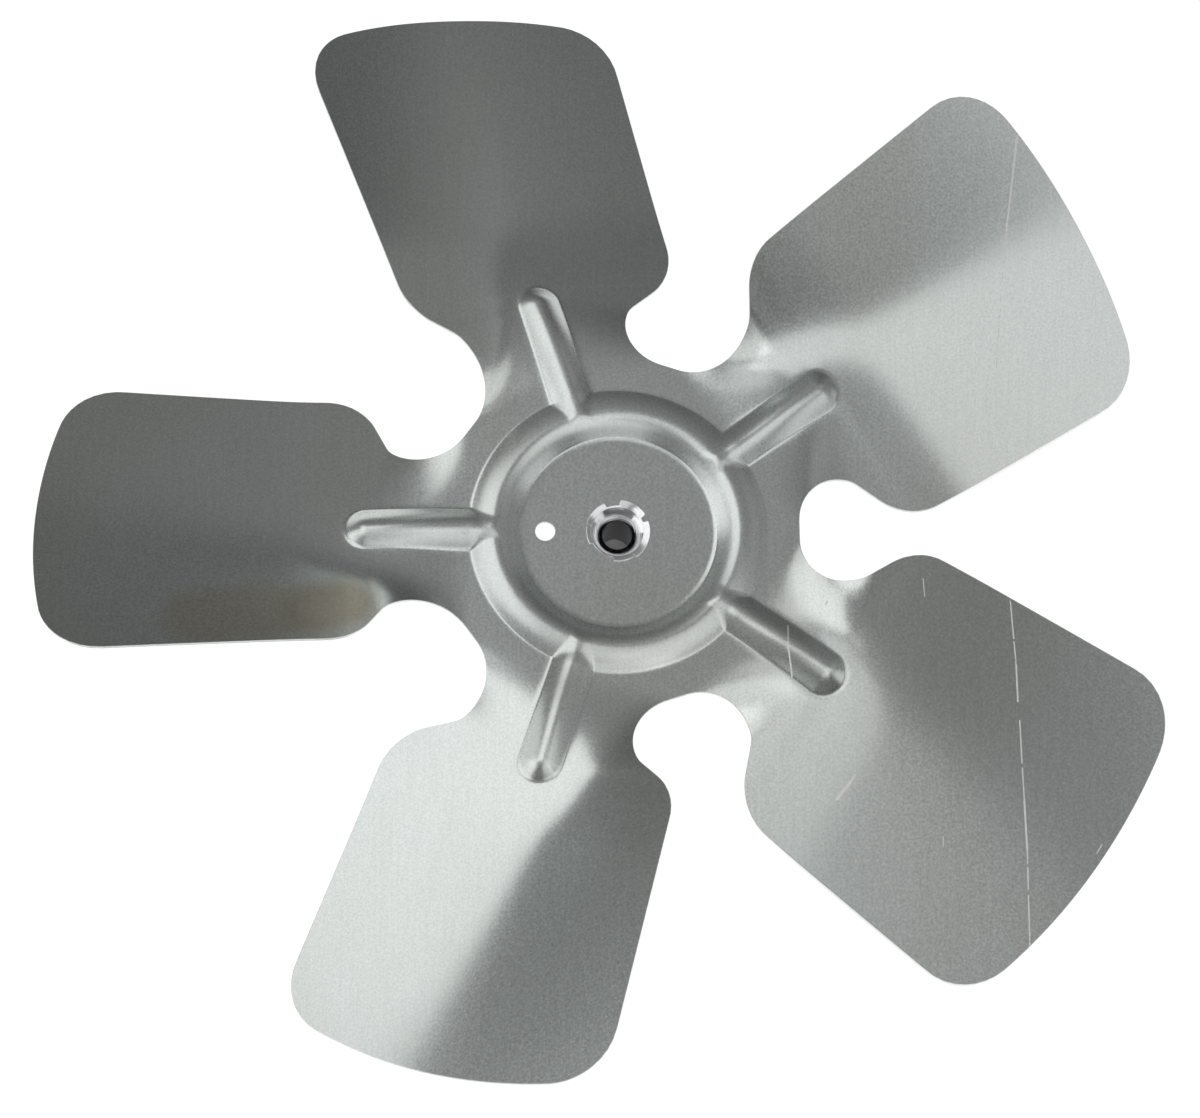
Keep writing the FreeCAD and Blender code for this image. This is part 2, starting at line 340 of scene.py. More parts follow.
class Nodes:
    """A node tree with short calls for adding and joining nodes."""

    def __init__(self, tree: bpy.types.NodeTree) -> None:
        """Keep the tree that nodes are added to."""
        self.tree = tree

    def add(self, kind: str, inputs: dict | None = None, **settings) -> bpy.types.Node:
        """Add a node, set its properties, and set or join its inputs.

        Args:
            kind: the node's type name.
            inputs: value or output socket for each input, by name or number.
            settings: properties of the node.

        Returns:
            The new node.
        """
        node = self.tree.nodes.new(kind)
        for key, value in settings.items():
            setattr(node, key, value)
        for key, value in (inputs or {}).items():
            self.feed(node.inputs[key], value)
        return node

    def feed(self, socket: bpy.types.NodeSocket, value) -> None:
        """Join an output to a socket, or set the socket's own value.

        Args:
            socket: the input to feed.
            value: an output socket or a plain value.
        """
        if isinstance(value, bpy.types.NodeSocket):
            self.tree.links.new(value, socket)
        else:
            socket.default_value = value

    def math(self, operation: str, *values, clamp: bool = False) -> bpy.types.NodeSocket:
        """Work out a number from sockets or values, and give the output socket."""
        node = self.add("ShaderNodeMath", dict(enumerate(values)), operation=operation, use_clamp=clamp)
        return node.outputs[0]

    def vector(self, operation: str, *values, output: int = 0) -> bpy.types.NodeSocket:
        """Work out a vector from sockets or values, and give one output socket."""
        node = self.add("ShaderNodeVectorMath", dict(enumerate(values)), operation=operation)
        return node.outputs[output]

    def noise(self, vector, detail: float = 2.0, roughness: float = 0.5) -> bpy.types.NodeSocket:
        """Value of a noise texture of scale one on a vector."""
        inputs = {"Vector": vector, "Scale": 1.0, "Detail": detail, "Roughness": roughness}
        return self.add("ShaderNodeTexNoise", inputs).outputs[0]

    def remap(self, value, *ends) -> bpy.types.NodeSocket:
        """Move a value from one range, the first two ends, to another, and hold it there."""
        inputs = dict(enumerate((value, *ends)))
        return self.add("ShaderNodeMapRange", inputs, clamp=True).outputs[0]

    def place(self) -> bpy.types.NodeSocket:
        """The point's place in the object's own coordinates."""
        return self.add("ShaderNodeTexCoord").outputs["Object"]

    def flat_place(self) -> bpy.types.NodeSocket:
        """The point's place with its height left out."""
        return self.vector("MULTIPLY", self.place(), (1.0, 1.0, 0.0))

    def scaled(self, vector, factor) -> bpy.types.NodeSocket:
        """A vector or colour times a number."""
        inputs = {0: vector, "Scale": factor}
        return self.add("ShaderNodeVectorMath", inputs, operation="SCALE").outputs[0]

    def bump(self, height, distance: float) -> bpy.types.NodeSocket:
        """Normal of a surface that stands up by a height times a distance."""
        inputs = {"Height": height, "Distance": distance, "Strength": 1.0}
        return self.add("ShaderNodeBump", inputs).outputs[0]

    def mix_colour(self, factor, a, b) -> bpy.types.NodeSocket:
        """Mix two colours by a factor."""
        node = self.add("ShaderNodeMix", {0: factor, 6: a, 7: b}, data_type="RGBA")
        return node.outputs[2]


def new_group(name: str, inputs: dict, outputs: list[str]) -> tuple[Nodes, dict]:
    """Start a shader node group with named inputs and outputs.

    Args:
        name: the group's name.
        inputs: for each input its socket type and default value.
        outputs: names of the outputs, all numbers.

    Returns:
        The group's nodes, and the inner sockets of its inputs by name.
    """
    group = bpy.data.node_groups.new(name, "ShaderNodeTree")
    for key, (kind, default) in inputs.items():
        socket = group.interface.new_socket(key, in_out="INPUT", socket_type=kind)
        socket.default_value = default
    for key in outputs:
        group.interface.new_socket(key, in_out="OUTPUT", socket_type="NodeSocketFloat")
    nodes = Nodes(group)
    entry = nodes.add("NodeGroupInput")
    return nodes, {key: entry.outputs[key] for key in inputs}


class Effect(Enum):
    """Surface effects that more than one finish uses."""

    GRAIN = "rolled_grain"
    SPECKLE = "fine_speckle"
    WEAR = "edge_wear"
    SCRATCH = "scratch"


def build_grain() -> None:
    """Fine lines drawn out along Y, as rolling leaves them in sheet: noise on stretched coordinates."""
    inputs = {
        "Across": ("NodeSocketFloat", 1500.0),
        "Along": ("NodeSocketFloat", 60.0),
    }
    nodes, inner = new_group(Effect.GRAIN.value, inputs, ["Fine"])
    stretch = {0: inner["Across"], 1: inner["Along"], 2: inner["Along"]}
    scale = nodes.add("ShaderNodeCombineXYZ", stretch).outputs[0]
    drawn = nodes.vector("MULTIPLY", nodes.place(), scale)
    nodes.add("NodeGroupOutput", {"Fine": nodes.noise(drawn, detail=3.0, roughness=0.65)})


def build_speckle() -> None:
    """Even fine mottle of a dull metal face: noise of one size in all directions."""
    inputs = {"Size": ("NodeSocketFloat", 0.0006)}
    nodes, inner = new_group(Effect.SPECKLE.value, inputs, ["Value"])
    spread = nodes.scaled(nodes.place(), nodes.math("DIVIDE", 1.0, inner["Size"]))
    nodes.add("NodeGroupOutput", {"Value": nodes.noise(spread, detail=1.5)})


def build_wear() -> None:
    """Bright worn edges: the bevel shader's turned normal set against the true one."""
    inputs = {"Width": ("NodeSocketFloat", 0.0003)}
    nodes, inner = new_group(Effect.WEAR.value, inputs, ["Mask"])
    soft = nodes.add("ShaderNodeBevel", {"Radius": inner["Width"]}, samples=4)
    true = nodes.add("ShaderNodeNewGeometry").outputs["Normal"]
    match = nodes.vector("DOT_PRODUCT", soft.outputs[0], true, output=1)
    nodes.add("NodeGroupOutput", {"Mask": nodes.remap(match, *WEAR_SPAN, 0.0, 1.0)})


def build_scratch() -> None:
    """A straight scratch on the upper face: the plan distance to a line between two points.

    The point's foot on the line is held between the two ends, and the mask is one within the width
    of that foot and fades to nought at twice the width. A noise breaks the line up.
    """
    inputs = {
        "Start": ("NodeSocketVector", (0.0, 0.0, 0.0)),
        "End": ("NodeSocketVector", (1.0, 0.0, 0.0)),
        "Width": ("NodeSocketFloat", 0.0002),
        "Broken": ("NodeSocketFloat", 0.4),
    }
    nodes, inner = new_group(Effect.SCRATCH.value, inputs, ["Mask"])
    flat = nodes.flat_place()
    line = nodes.vector("SUBTRACT", inner["End"], inner["Start"])
    offset = nodes.vector("SUBTRACT", flat, inner["Start"])
    reach = nodes.vector("DOT_PRODUCT", line, line, output=1)
    part = nodes.math("DIVIDE", nodes.vector("DOT_PRODUCT", offset, line, output=1), reach, clamp=True)
    away = nodes.vector("DISTANCE", offset, nodes.scaled(line, part), output=1)
    near = nodes.math("SUBTRACT", 2.0, nodes.math("DIVIDE", away, inner["Width"]), clamp=True)
    patchy = nodes.noise(nodes.scaled(flat, BREAK_SCALE), detail=3.0, roughness=0.7)
    whole = nodes.math("GREATER_THAN", patchy, inner["Broken"])
    up = nodes.add("ShaderNodeSeparateXYZ", {0: nodes.add("ShaderNodeNewGeometry").outputs["Normal"]})
    facing = nodes.math("GREATER_THAN", up.outputs[2], 0.0)
    mask = nodes.math("MULTIPLY", nodes.math("MULTIPLY", near, whole), facing)
    nodes.add("NodeGroupOutput", {"Mask": mask})


def start_metal(name: str) -> tuple[bpy.types.Material, Nodes, bpy.types.Node]:
    """Start a metal material.

    Args:
        name: the material's name.

    Returns:
        The material, its nodes and its Principled shader.
    """
    material = bpy.data.materials.new(name)
    material.use_nodes = True
    shader = material.node_tree.nodes["Principled BSDF"]
    shader.inputs["Metallic"].default_value = 1.0
    return material, Nodes(material.node_tree), shader


def place_effect(nodes: Nodes, effect: Effect, inputs: dict | None = None) -> bpy.types.Node:
    """Put a shared effect into a material with its own values."""
    return nodes.add("ShaderNodeGroup", inputs, node_tree=bpy.data.node_groups[effect.value])


@dataclass(frozen=True)
class Scratch:
    """One scratch, by its plan ends and its width in millimetres."""

    start: tuple[float, float]
    end: tuple[float, float]
    width: float
    broken: float


SHEET_SCRATCHES = (
    Scratch((107.2, 106.9), (104.6, 80.0), 0.16, 0.36),
    Scratch((104.6, 80.0), (102.7, 48.0), 0.10, 0.50),
    Scratch((102.7, 48.0), (102.8, 31.3), 0.08, 0.54),
    Scratch((99.5, -25.8), (101.5, -41.0), 0.10, 0.42),
    Scratch((101.5, -41.0), (102.2, -49.5), 0.13, 0.40),
    Scratch((102.8, -54.0), (104.4, -73.0), 0.10, 0.40),
    Scratch((104.4, -73.0), (105.3, -85.0), 0.14, 0.36),
    Scratch((105.3, -85.0), (106.2, -109.3), 0.10, 0.42),
    Scratch((57.1, -69.8), (60.2, -66.1), 0.26, 0.20),
    Scratch((60.2, -66.1), (61.8, -64.0), 0.13, 0.30),
    Scratch((44.1, -26.5), (43.8, -32.5), 0.10, 0.36),
    Scratch((43.8, -32.5), (45.1, -39.6), 0.15, 0.32),
    Scratch((84.2, -80.6), (84.2, -82.8), 0.07, 0.36),
    Scratch((123.7, -85.3), (122.5, -87.2), 0.08, 0.38),
    Scratch((78.0, -18.4), (78.5, -22.4), 0.06, 0.44),
    Scratch((54.4, -20.2), (54.0, -21.0), 0.20, 0.20),
)
SHEET_SMEARS = (
    (Scratch((-108.0, -30.0), (-88.0, -27.5), 6.0, 0.0), (0.66, 0.645, 0.56)),
    (Scratch((-79.0, -27.0), (-71.0, -24.0), 5.5, 0.0), (0.56, 0.53, 0.44)),
)


@dataclass(frozen=True)
class MillAluminium:
    """Rolled aluminium sheet as it leaves the press, dull with fine grain along Y."""

    colour: tuple[float, float, float] = (0.705, 0.745, 0.73)
    stain: tuple[float, float, float] = (0.66, 0.665, 0.62)
    scratch_colour: tuple[float, float, float] = (0.95, 0.95, 0.94)
    roughness: float = 0.21
    roughness_spread: float = 0.02
    grain_depth: float = 0.0000024
    mottle: tuple[float, float] = (0.90, 1.07)
    grain_tone: tuple[float, float] = (0.96, 1.03)
    blotch_scale: tuple[float, float, float] = (16.0, 9.0, 9.0)
    blotch_span: tuple[float, float] = (0.45, 0.7)
    stain_share: float = 0.6
    scratch_roughness: float = 0.75
    stretch_roughness: float = 0.08
    stretched_ring: tuple[float, float] = (26.3, 38.9)
    stretched_rib: tuple[float, float] = (32.0, 66.0)
    stretched_rib_width: float = 4.0
    stretched_soft: tuple[float, float] = (0.3, 0.7)
    scratches: tuple[Scratch, ...] = SHEET_SCRATCHES
    smears: tuple[tuple[Scratch, tuple[float, float, float]], ...] = SHEET_SMEARS

    def mark(self, nodes: Nodes, scratch: Scratch) -> bpy.types.NodeSocket:
        """Place one scratch.

        Args:
            nodes: the material's nodes.
            scratch: the scratch.

        Returns:
            Its mask.
        """
        ends = {
            "Start": (scratch.start[0] * MM, scratch.start[1] * MM, 0.0),
            "End": (scratch.end[0] * MM, scratch.end[1] * MM, 0.0),
            "Width": scratch.width * MM,
            "Broken": scratch.broken,
        }
        return place_effect(nodes, Effect.SCRATCH, ends).outputs[0]

    def stretched(self, nodes: Nodes) -> bpy.types.NodeSocket:
        """Mark the ring and the ribs, where pressing stretched the sheet and dulled it.

        Args:
            nodes: the material's nodes.

        Returns:
            The mask.
        """
        radius = nodes.vector("LENGTH", nodes.flat_place(), output=1)
        inner, outer = self.stretched_ring
        out, into = self.stretched_soft
        begin = nodes.remap(radius, (inner - out) * MM, (inner + into) * MM, 0.0, 1.0)
        end = nodes.remap(radius, (outer - into) * MM, (outer + out) * MM, 1.0, 0.0)
        mask = nodes.math("MULTIPLY", begin, end)
        near, far = self.stretched_rib
        for pitch in range(BLADE_COUNT):
            angle = FIRST_RIB_ANGLE + 360.0 * pitch / BLADE_COUNT
            line = turned(np.array([[near, 0.0], [far, 0.0]]), angle).tolist()
            rib = Scratch(tuple(line[0]), tuple(line[1]), self.stretched_rib_width, 0.0)
            mask = nodes.math("MAXIMUM", mask, self.mark(nodes, rib))
        return mask

    def material(self, name: str) -> bpy.types.Material:
        """Build the finish as a material.

        Args:
            name: the material's name.

        Returns:
            The new material.
        """
        material, nodes, shader = start_metal(name)
        grain = place_effect(nodes, Effect.GRAIN)
        speckle = place_effect(nodes, Effect.SPECKLE)
        wear = place_effect(nodes, Effect.WEAR)
        blotch = nodes.noise(nodes.vector("MULTIPLY", nodes.place(), self.blotch_scale), detail=4.0)
        stained = nodes.remap(blotch, *self.blotch_span, 0.0, self.stain_share)
        colour = nodes.mix_colour(stained, (*self.colour, 1.0), (*self.stain, 1.0))
        for smear, tint in self.smears:
            colour = nodes.mix_colour(self.mark(nodes, smear), colour, (*tint, 1.0))
        mottle = nodes.remap(speckle.outputs[0], *NOISE_SPAN, *self.mottle)
        drawn = nodes.remap(grain.outputs["Fine"], *GRAIN_SPAN, *self.grain_tone)
        tone = nodes.math("MULTIPLY", mottle, drawn)
        toned = nodes.scaled(colour, tone)
        mark = wear.outputs[0]
        for scratch in self.scratches:
            mark = nodes.math("MAXIMUM", mark, self.mark(nodes, scratch))
        marked = nodes.mix_colour(mark, toned, (*self.scratch_colour, 1.0))
        nodes.feed(shader.inputs["Base Color"], marked)
        low = self.roughness - self.roughness_spread
        high = self.roughness + self.roughness_spread
        dulled = nodes.math("MULTIPLY", self.stretched(nodes), self.stretch_roughness)
        rolled = nodes.math("ADD", nodes.remap(speckle.outputs[0], *NOISE_SPAN, low, high), dulled)
        torn = nodes.math("MULTIPLY", mark, self.scratch_roughness)
        nodes.feed(shader.inputs["Roughness"], nodes.math("MAXIMUM", rolled, torn))
        height = nodes.math("ADD", grain.outputs["Fine"], speckle.outputs[0])
        nodes.feed(shader.inputs["Normal"], nodes.bump(height, self.grain_depth))
        return material


@dataclass(frozen=True)
class TurnedMetal:
    """Metal turned on a lathe, with fine rings about an axis along Z."""

    colour: tuple[float, float, float] = (0.86, 0.87, 0.88)
    edge_colour: tuple[float, float, float] = (0.97, 0.97, 0.97)
    roughness: float = 0.2
    roughness_spread: float = 0.06
    ring_pitch: float = 0.00012
    ring_depth: float = 0.000004
    wobble_scale: float = 260.0
    wobble_turns: float = 9.0
    speckle_size: float = 0.0004
    wear_width: float = 0.00015
    mottle: tuple[float, float] = (0.9, 1.04)
    # Painted shade: within this radius of the shaft the colour drops to the share, for the shade down
    # the bore.
    bore_shade_radius: float = 0.0
    bore_shade_ease: float = 0.0001
    bore_shade_share: float = 0.3

    def material(self, name: str) -> bpy.types.Material:
        """Build the finish as a material: a wave on the distance from the shaft plus the height, and
        painted shade inside the bore.

        Args:
            name: the material's name.

        Returns:
            The new material.
        """
        material, nodes, shader = start_metal(name)
        place = nodes.place()
        radius = nodes.vector("LENGTH", nodes.flat_place(), output=1)
        height = nodes.add("ShaderNodeSeparateXYZ", {0: place}).outputs[2]
        path = nodes.math("ADD", radius, height)
        turns = nodes.math("DIVIDE", path, self.ring_pitch)
        wobble = nodes.noise(nodes.scaled(place, self.wobble_scale))
        shift = nodes.math("MULTIPLY", wobble, self.wobble_turns)
        rings = nodes.math("SINE", nodes.math("ADD", turns, shift))
        speckle = place_effect(nodes, Effect.SPECKLE, {"Size": self.speckle_size}).outputs[0]
        wear = place_effect(nodes, Effect.WEAR, {"Width": self.wear_width}).outputs[0]
        # Painted shade: the colour is darkened inside the bore's radius, where shade falls down the
        # hole.
        shade_start = self.bore_shade_radius
        bore_shade = nodes.remap(radius, shade_start, shade_start + self.bore_shade_ease, self.bore_shade_share, 1.0)
        tone = nodes.math("MULTIPLY", nodes.remap(speckle, *NOISE_SPAN, *self.mottle), bore_shade)
        final = nodes.mix_colour(wear, nodes.scaled(self.colour, tone), (*self.edge_colour, 1.0))
        nodes.feed(shader.inputs["Base Color"], final)
        low = self.roughness - self.roughness_spread
        high = self.roughness + self.roughness_spread
        nodes.feed(shader.inputs["Roughness"], nodes.remap(wobble, *NOISE_SPAN, low, high))
        nodes.feed(shader.inputs["Normal"], nodes.bump(rings, self.ring_depth))
        return material


# The stamped sheet.

@dataclass(frozen=True)
class BladePlan:
    """Plan outline of a blade in its own frame: X runs out along the rib, Y across. Millimetres."""

    tip_radius: float = 152.4
    edge_station: float = 100.0
    edge_offset: tuple[float, float] = (42.26, 38.32)
    edge_angle: tuple[float, float] = (4.2, 3.8)
    tip_corner: tuple[float, float] = (15.5, 16.5)
    tip_crown_radius: float = 125.0
    tip_crown_shift: float = -0.55
    notch_floor: float = 47.92
    notch_straight: float = 0.3
    notch_half_width: tuple[float, float] = (16.3, 16.0)
    notch_corner: tuple[float, float] = (13.1, 13.9)
    notch_turn: tuple[float, float] = (5.3, 7.5)
    neck_angle: tuple[float, float] = (28.6, 21.4)
    neck_radius: tuple[float, float] = (16.2, 14.1)
    half_pitch: float = 36.0
    corner_points: int = 49
    turn_points: int = 25
    neck_points: int = 41
    tip_points: int = 33
    crown_points: int = 61

    def paths(self, side: int, band: float) -> tuple[np.ndarray, np.ndarray, np.ndarray]:
        """Outline of half a blade as three runs of points.

        The runs are the notch floor to the middle of its corner, from there along the neck and the
        edge to the middle of the tip's corner, and from the rib band's edge along the crown to there.

        Args:
            side: -1 for the low edge and 1 for the high one.
            band: half width of the band of straight columns along the rib.

        Returns:
            The three runs.
        """
        i = 0 if side < 0 else 1
        gap = side * self.half_pitch
        fall = math.radians(self.neck_angle[i])
        width = self.notch_half_width[i]
        corner = self.notch_corner[i]
        shoulder = self.notch_floor + corner + self.notch_straight
        shoulder += self.notch_turn[i] * math.tan(fall / 2.0)
        floor = turned(np.array([self.notch_floor, 0.0]), gap)
        bottom = turned(np.array([self.notch_floor, -side * width]), gap)
        turn_point = turned(np.array([shoulder, -side * width]), gap)
        into = turned(np.array([math.cos(fall), side * math.sin(fall)]), gap)
        lean = math.radians(self.edge_angle[i])
        along = np.array([math.cos(lean), side * math.sin(lean)])
        inward = np.array([math.sin(lean), -side * math.cos(lean)])
        on_edge = np.array([self.edge_station, side * self.edge_offset[i]])
        gap_to = on_edge - turn_point
        reach = gap_to[0] * along[1] - gap_to[1] * along[0]
        neck = turn_point + into * (reach / (into[0] * along[1] - into[1] * along[0]))
        crown = np.array([self.tip_radius - self.tip_crown_radius, self.tip_crown_shift])
        tip = self.tip_corner[i]
        base = on_edge + inward * tip - crown
        part = float(base @ along)
        rest = float(base @ base) - (self.tip_crown_radius - tip) ** 2
        centre = on_edge + inward * tip + along * (math.sqrt(part * part - rest) - part)
        foot_angle = math.atan2(-inward[1], -inward[0])
        out = centre - crown
        end_angle = math.atan2(out[1], out[0])
        half_angle = (foot_angle + end_angle) / 2.0
        first = bend_arc(floor, bottom, turn_point, corner, self.corner_points)
        second = bend_arc(bottom, turn_point, neck, self.notch_turn[i], self.turn_points)
        third = bend_arc(turn_point, neck, centre - inward * tip, self.neck_radius[i], self.neck_points)
        lower = np.linspace(foot_angle, half_angle, self.tip_points)
        upper = np.linspace(end_angle, half_angle, self.tip_points)
        low_arc = centre + tip * np.stack([np.cos(lower), np.sin(lower)], axis=1)
        high_arc = centre + tip * np.stack([np.cos(upper), np.sin(upper)], axis=1)
        start = math.asin((side * band - self.tip_crown_shift) / self.tip_crown_radius)
        sweep = np.linspace(start, end_angle, self.crown_points)
        crown_arc = crown + self.tip_crown_radius * np.stack([np.cos(sweep), np.sin(sweep)], axis=1)
        middle = self.corner_points // 2
        notch = np.concatenate([floor[None], first[:middle + 1]])
        edge = np.concatenate([first[middle:], second, third, low_arc])
        return notch, edge, np.concatenate([crown_arc, high_arc[1:]])

    def crown_x(self, y: np.ndarray) -> np.ndarray:
        """Where the tip crown crosses each line of constant Y."""
        off = y - self.tip_crown_shift
        return self.tip_radius - self.tip_crown_radius + np.sqrt(self.tip_crown_radius ** 2 - off ** 2)


@dataclass(frozen=True)
class BladeForm:
    """Heights of the pitched blade, in millimetres. A ratio is a rise per millimetre."""

    joint_station: float = 39.5
    root_station: float = 80.0
    outer_station: float = 140.0
    low_ratio: tuple[float, float] = (0.355, 0.426)
    high_ratio: tuple[float, float] = (0.755, 0.641)
    bend_line: tuple[float, float] = (8.1, -1.9)
    bend_bow: float = 0.35
    bend_height: tuple[float, float] = (0.65, -1.25)
    bend_width: tuple[float, float] = (3.6, 5.6)
    fold_station: float = 85.0
    fold_width: float = 2.9
    rise_ratio: tuple[float, float] = (0.139, -0.062)
    rise_blend: float = 4.0
    ramp_end: float = 68.8
    ramp_lead: tuple[float, float] = (0.371, 0.251)
    lead_start: float = 3.0

    def height(self, x: np.ndarray, y: np.ndarray) -> np.ndarray:
        """Height of the middle of the sheet.

        Two flats of different pitch meet at a soft bend: low ratio times the distance across, plus
        the difference of ratios times a soft plus of that distance over the bend's width. A fold near
        the root adds a soft plus of the distance inwards, and an ease over the ramp takes it all down
        to the flat plate round the ring.

        Args:
            x: distance out along the rib.
            y: distance across.

        Returns:
            The heights over the plate.
        """
        k = (x - self.root_station) / (self.outer_station - self.root_station)
        low = self.low_ratio[0] + (self.low_ratio[1] - self.low_ratio[0]) * k
        high = self.high_ratio[0] + (self.high_ratio[1] - self.high_ratio[0]) * k
        bend = self.bend_line[0] + (self.bend_line[1] - self.bend_line[0]) * k
        bend = bend + self.bend_bow * 4.0 * k * (1.0 - k)
        width = self.bend_width[0] + (self.bend_width[1] - self.bend_width[0]) * np.maximum(k, -1.0)
        level = self.bend_height[0] + (self.bend_height[1] - self.bend_height[0]) * k
        across = y - bend
        side = 1.0 / (1.0 + np.exp(across / self.rise_blend))
        rise = self.rise_ratio[0] * side + self.rise_ratio[1] * (1.0 - side)
        fold = self.fold_width * np.logaddexp(0.0, (self.fold_station - x) / self.fold_width)
        bent = (high - low) * width * np.logaddexp(0.0, across / width)
        height = level + low * across + bent + rise * fold
        lead = np.where(y < 0.0, self.ramp_lead[0], self.ramp_lead[1])
        away = np.hypot(y, self.lead_start) - self.lead_start
        run = np.maximum(self.ramp_end - lead * away - self.joint_station, self.lead_start)
        return height * smooth_step((x - self.joint_station) / run)


@dataclass(frozen=True)
class BeadForm:
    """The pressed ring and ribs, in millimetres and degrees."""

    disc_drop: float = 1.0
    ring_inner: float = 26.3
    ring_outer: float = 38.9
    inner_wall_angle: float = 38.0
    ring_crown: float = 31.0
    ring_height: float = 2.75
    crest_blend: float = 1.8
    foot_blend: float = 0.20
    crest_station: float = 32.2
    rib_half_width: float = 5.9
    rib_end: float = 72.0
    rib_height: float = 3.3
    rib_ridge: float = 3.0
    rib_foot_blend: float = 0.50
    nose_foot_blend: float = 0.90
    rib_start_sink: float = 0.6
    rib_start_gap: float = 1.0
    rib_start_blend: float = 1.0
    joint_blend: tuple[float, float] = (0.5, 2.4)
    joint_station: float = 39.5

    def rise(self, x: np.ndarray, y: np.ndarray, side: int, thickness: float) -> np.ndarray:
        """Rise of one skin of the ring and ribs over the flat sheet or the blade.

        The ring is a cone inside and a parabola outside, which falls from the crown to the foot by the
        square of the way out, with a rounded crest between them. The rib is two flanks with a rounded
        ridge and a half round end: its height less the slope times the root of the offset squared and
        the ridge squared. The rounded higher of ring, rib and sheet is the result. The back's walls
        are moved so that the sheet keeps its thickness square to them.

        Args:
            x: distance out along the rib.
            y: distance across.
            side: 1 for the upper skin and -1 for the lower.
            thickness: thickness of the sheet.

        Returns:
            The rise at each point.
        """
        r = np.hypot(x, y)
        inner = math.tan(math.radians(self.inner_wall_angle))
        half = side * thickness / 2.0
        inner_line = inner * (r - self.ring_inner) - self.disc_drop
        inner_line = inner_line + half * (math.hypot(1.0, inner) - 1.0)
        bow = self.ring_height / (self.ring_outer - self.ring_crown) ** 2
        out = np.maximum(r - self.ring_crown, 0.0)
        outer_line = self.ring_height - bow * out ** 2 + half * (np.hypot(1.0, 2.0 * bow * out) - 1.0)
        floor = np.where(r < self.crest_station, -self.disc_drop, 0.0)
        ring = smooth_max(smooth_min(inner_line, outer_line, self.crest_blend), floor, self.foot_blend)
        nose = self.rib_end - self.rib_half_width
        off = np.hypot(np.maximum(x - nose, 0.0), y)
        start = (self.joint_station - x) / (self.joint_station - self.crest_station)
        slope = self.rib_height / (math.hypot(self.rib_half_width, self.rib_ridge) - self.rib_ridge)
        run = np.hypot(off, self.rib_ridge)
        rib = self.rib_height - slope * (run - self.rib_ridge)
        rib = rib - self.rib_start_sink * smooth_step(start)
        if side < 0:
            rib = rib - thickness * (np.hypot(1.0, slope * off / run) - 1.0)
        rib = smooth_min(rib, inner_line - self.rib_start_gap, self.rib_start_blend)
        level = np.clip(np.minimum(ring, rib) / self.rib_height, 0.0, 1.0)
        joint = self.joint_blend[0] + (self.joint_blend[1] - self.joint_blend[0]) * level
        both = smooth_max(ring, rib, joint)
        end = smooth_step((x - nose) / self.rib_half_width)
        soft = (self.nose_foot_blend - self.rib_foot_blend) * end
        footed = smooth_max(both, np.zeros_like(r), self.rib_foot_blend + soft)
        return np.where(r < self.crest_station, both, footed)


